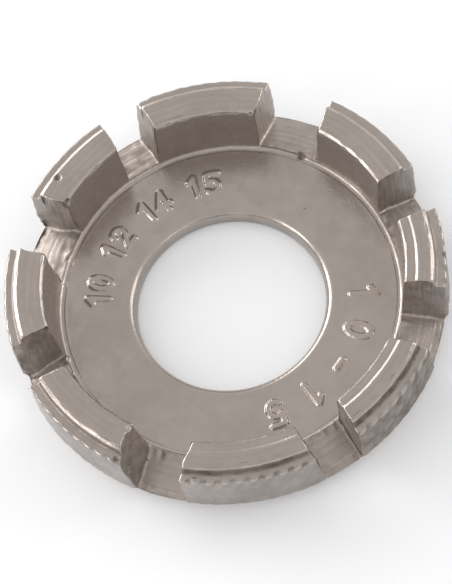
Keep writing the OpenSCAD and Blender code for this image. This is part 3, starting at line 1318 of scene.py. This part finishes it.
@dataclass(frozen=True)
class SoftBox:
    """A square lamp that faces the wrench."""

    name: str  # Name of the lamp
    turn: float  # Its direction, from the right of the picture towards the top
    rise: float  # Its height above the horizon
    level: float  # Brightness of its face beside a white surface in full light
    size: float = 0.30  # Length of its sides, in metres
    distance: float = 0.60  # How far away it is, in metres
    colour: Colour = (1.04, 1.0, 0.965)  # Colour of its light

    def build(self, view_turn: float) -> None:
        """Makes the lamp.

        Args:
            view_turn: How far round the camera stands, in degrees.
        """
        turn, rise = math.radians(self.turn + view_turn), math.radians(self.rise)
        heading = Vector((math.cos(turn) * math.cos(rise), math.sin(turn) * math.cos(rise), math.sin(rise)))
        data = bpy.data.lights.new(self.name, "AREA")
        data.shape = "SQUARE"
        data.size = self.size
        data.energy = self.level * math.pi * self.size**2
        data.color = self.colour
        lamp = bpy.data.objects.new(self.name, data)
        lamp.location = heading * self.distance
        lamp.rotation_mode = "QUATERNION"
        lamp.rotation_quaternion = (-heading).to_track_quat("-Z", "Y")
        bpy.context.scene.collection.objects.link(lamp)


@dataclass
class Studio:
    """Floor, soft light and camera."""

    floor_size: float = 3.0
    floor_z: float = -0.00001
    floor_colour: Colour = (0.925, 0.96, 1.0)
    sky_overhead: Colour = (0.80, 0.77, 0.745)
    sky_level: Colour = (1.17, 1.13, 1.09)
    boxes: tuple[SoftBox, ...] = (
        SoftBox("key_box", 138.0, 20.0, 4.4, 0.33),
        SoftBox("right_box", 8.0, 26.0, 1.8, 0.34),
        SoftBox("back_box", 110.0, 13.0, 2.9, 0.26),
        SoftBox("left_box", 188.0, 20.0, 2.6),
    )
    view_turn: float = 36.03
    view_rise: float = 63.92
    view_roll: float = -16.22
    view_distance: float = 188.34
    view_lift: float = 0.45
    focal_pixels: float = 2698.95
    middle_pixel: tuple[float, float] = (231.41, 304.52)
    frame_pixels: tuple[int, int] = (452, 584)

    def build(self) -> None:
        """Makes the floor, the light and the camera."""
        self._floor()
        self._sky()
        for box in self.boxes:
            box.build(self.view_turn)
        self._camera()

    def _floor(self) -> None:
        """A white, matt floor just under the wrench."""
        half = self.floor_size / 2
        mesh = bpy.data.meshes.new("floor")
        corners = [(-half, -half), (half, -half), (half, half), (-half, half)]
        mesh.from_pydata([(x, y, self.floor_z) for x, y in corners], [], [(0, 1, 2, 3)])
        floor = bpy.data.objects.new("floor", mesh)
        bpy.context.scene.collection.objects.link(floor)
        matt = bpy.data.materials.new("matt_floor")
        matt.use_nodes = True
        shader = matt.node_tree.nodes["Principled BSDF"]
        shader.inputs["Base Color"].default_value = (*self.floor_colour, 1)
        shader.inputs["Roughness"].default_value = 0.9
        shader.inputs["Specular IOR Level"].default_value = 0.0
        mesh.materials.append(matt)

    def _sky(self) -> None:
        """Even light from all round, a little darker overhead."""
        world = bpy.data.worlds.new("studio_sky")
        world.use_nodes = True
        world.node_tree.nodes.clear()
        graph = Graph(world.node_tree)
        heading = graph.add("ShaderNodeTexCoord").outputs["Generated"]
        upward = graph.add("ShaderNodeSeparateXYZ", {0: heading}).outputs["Z"]
        colour = graph.mix(graph.ramp(upward, 0.0, 0.65), self.sky_level, self.sky_overhead)
        light = graph.add("ShaderNodeBackground", {"Color": colour, "Strength": 1.0})
        graph.add("ShaderNodeOutputWorld", {"Surface": light.outputs[0]})
        bpy.context.scene.world = world

    def _camera(self) -> None:
        """The camera at the photograph's viewing angle."""
        turn, rise, roll = (math.radians(v) for v in (self.view_turn, self.view_rise, self.view_roll))
        back = Vector((math.sin(turn) * math.cos(rise), -math.cos(turn) * math.cos(rise), math.sin(rise)))
        level = Vector((math.cos(turn), math.sin(turn), 0))
        upright = back.cross(level)
        right = level * math.cos(roll) + upright * math.sin(roll)
        up = upright * math.cos(roll) - level * math.sin(roll)
        data = bpy.data.cameras.new("camera")
        width, height = self.frame_pixels
        long_side = max(width, height)
        data.sensor_width = 36.0
        data.lens = data.sensor_width * self.focal_pixels / long_side
        data.shift_x = (width / 2 - self.middle_pixel[0]) / long_side
        data.shift_y = (self.middle_pixel[1] - height / 2) / long_side
        data.clip_start = 0.01
        camera = bpy.data.objects.new("camera", data)
        place = Matrix((right, up, back)).transposed().to_4x4()
        place.translation = back * self.view_distance * MM + Vector((0, 0, self.view_lift * MM))
        camera.matrix_world = place
        bpy.context.scene.collection.objects.link(camera)
        bpy.context.scene.camera = camera


def main() -> None:
    """Builds the studio and the two plated pieces."""
    logging.basicConfig(level=logging.INFO, format="%(name)s: %(message)s")
    bpy.context.scene.view_settings.view_transform = "Standard"
    Studio().build()
    effects = PlateEffects()
    _, web_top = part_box("web_disc")
    hole = next(mount for mount in frame["record"]["mounts"] if mount["name"] == "hanging_hole")
    web = WebDisc(hole["dims"]["r_mm"], web_top.x / MM, web_top.z / MM)
    _, rim_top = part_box("toothed_rim")
    rim = ToothedRim(rim_top.z / MM, web.plate_radius + SEAM_GAP)
    for part in (rim, web):
        piece = part.build(effects)
        LOG.info("%s: %d faces", piece.name, len(piece.data.polygons))


if __name__ == "__main__":
    main()
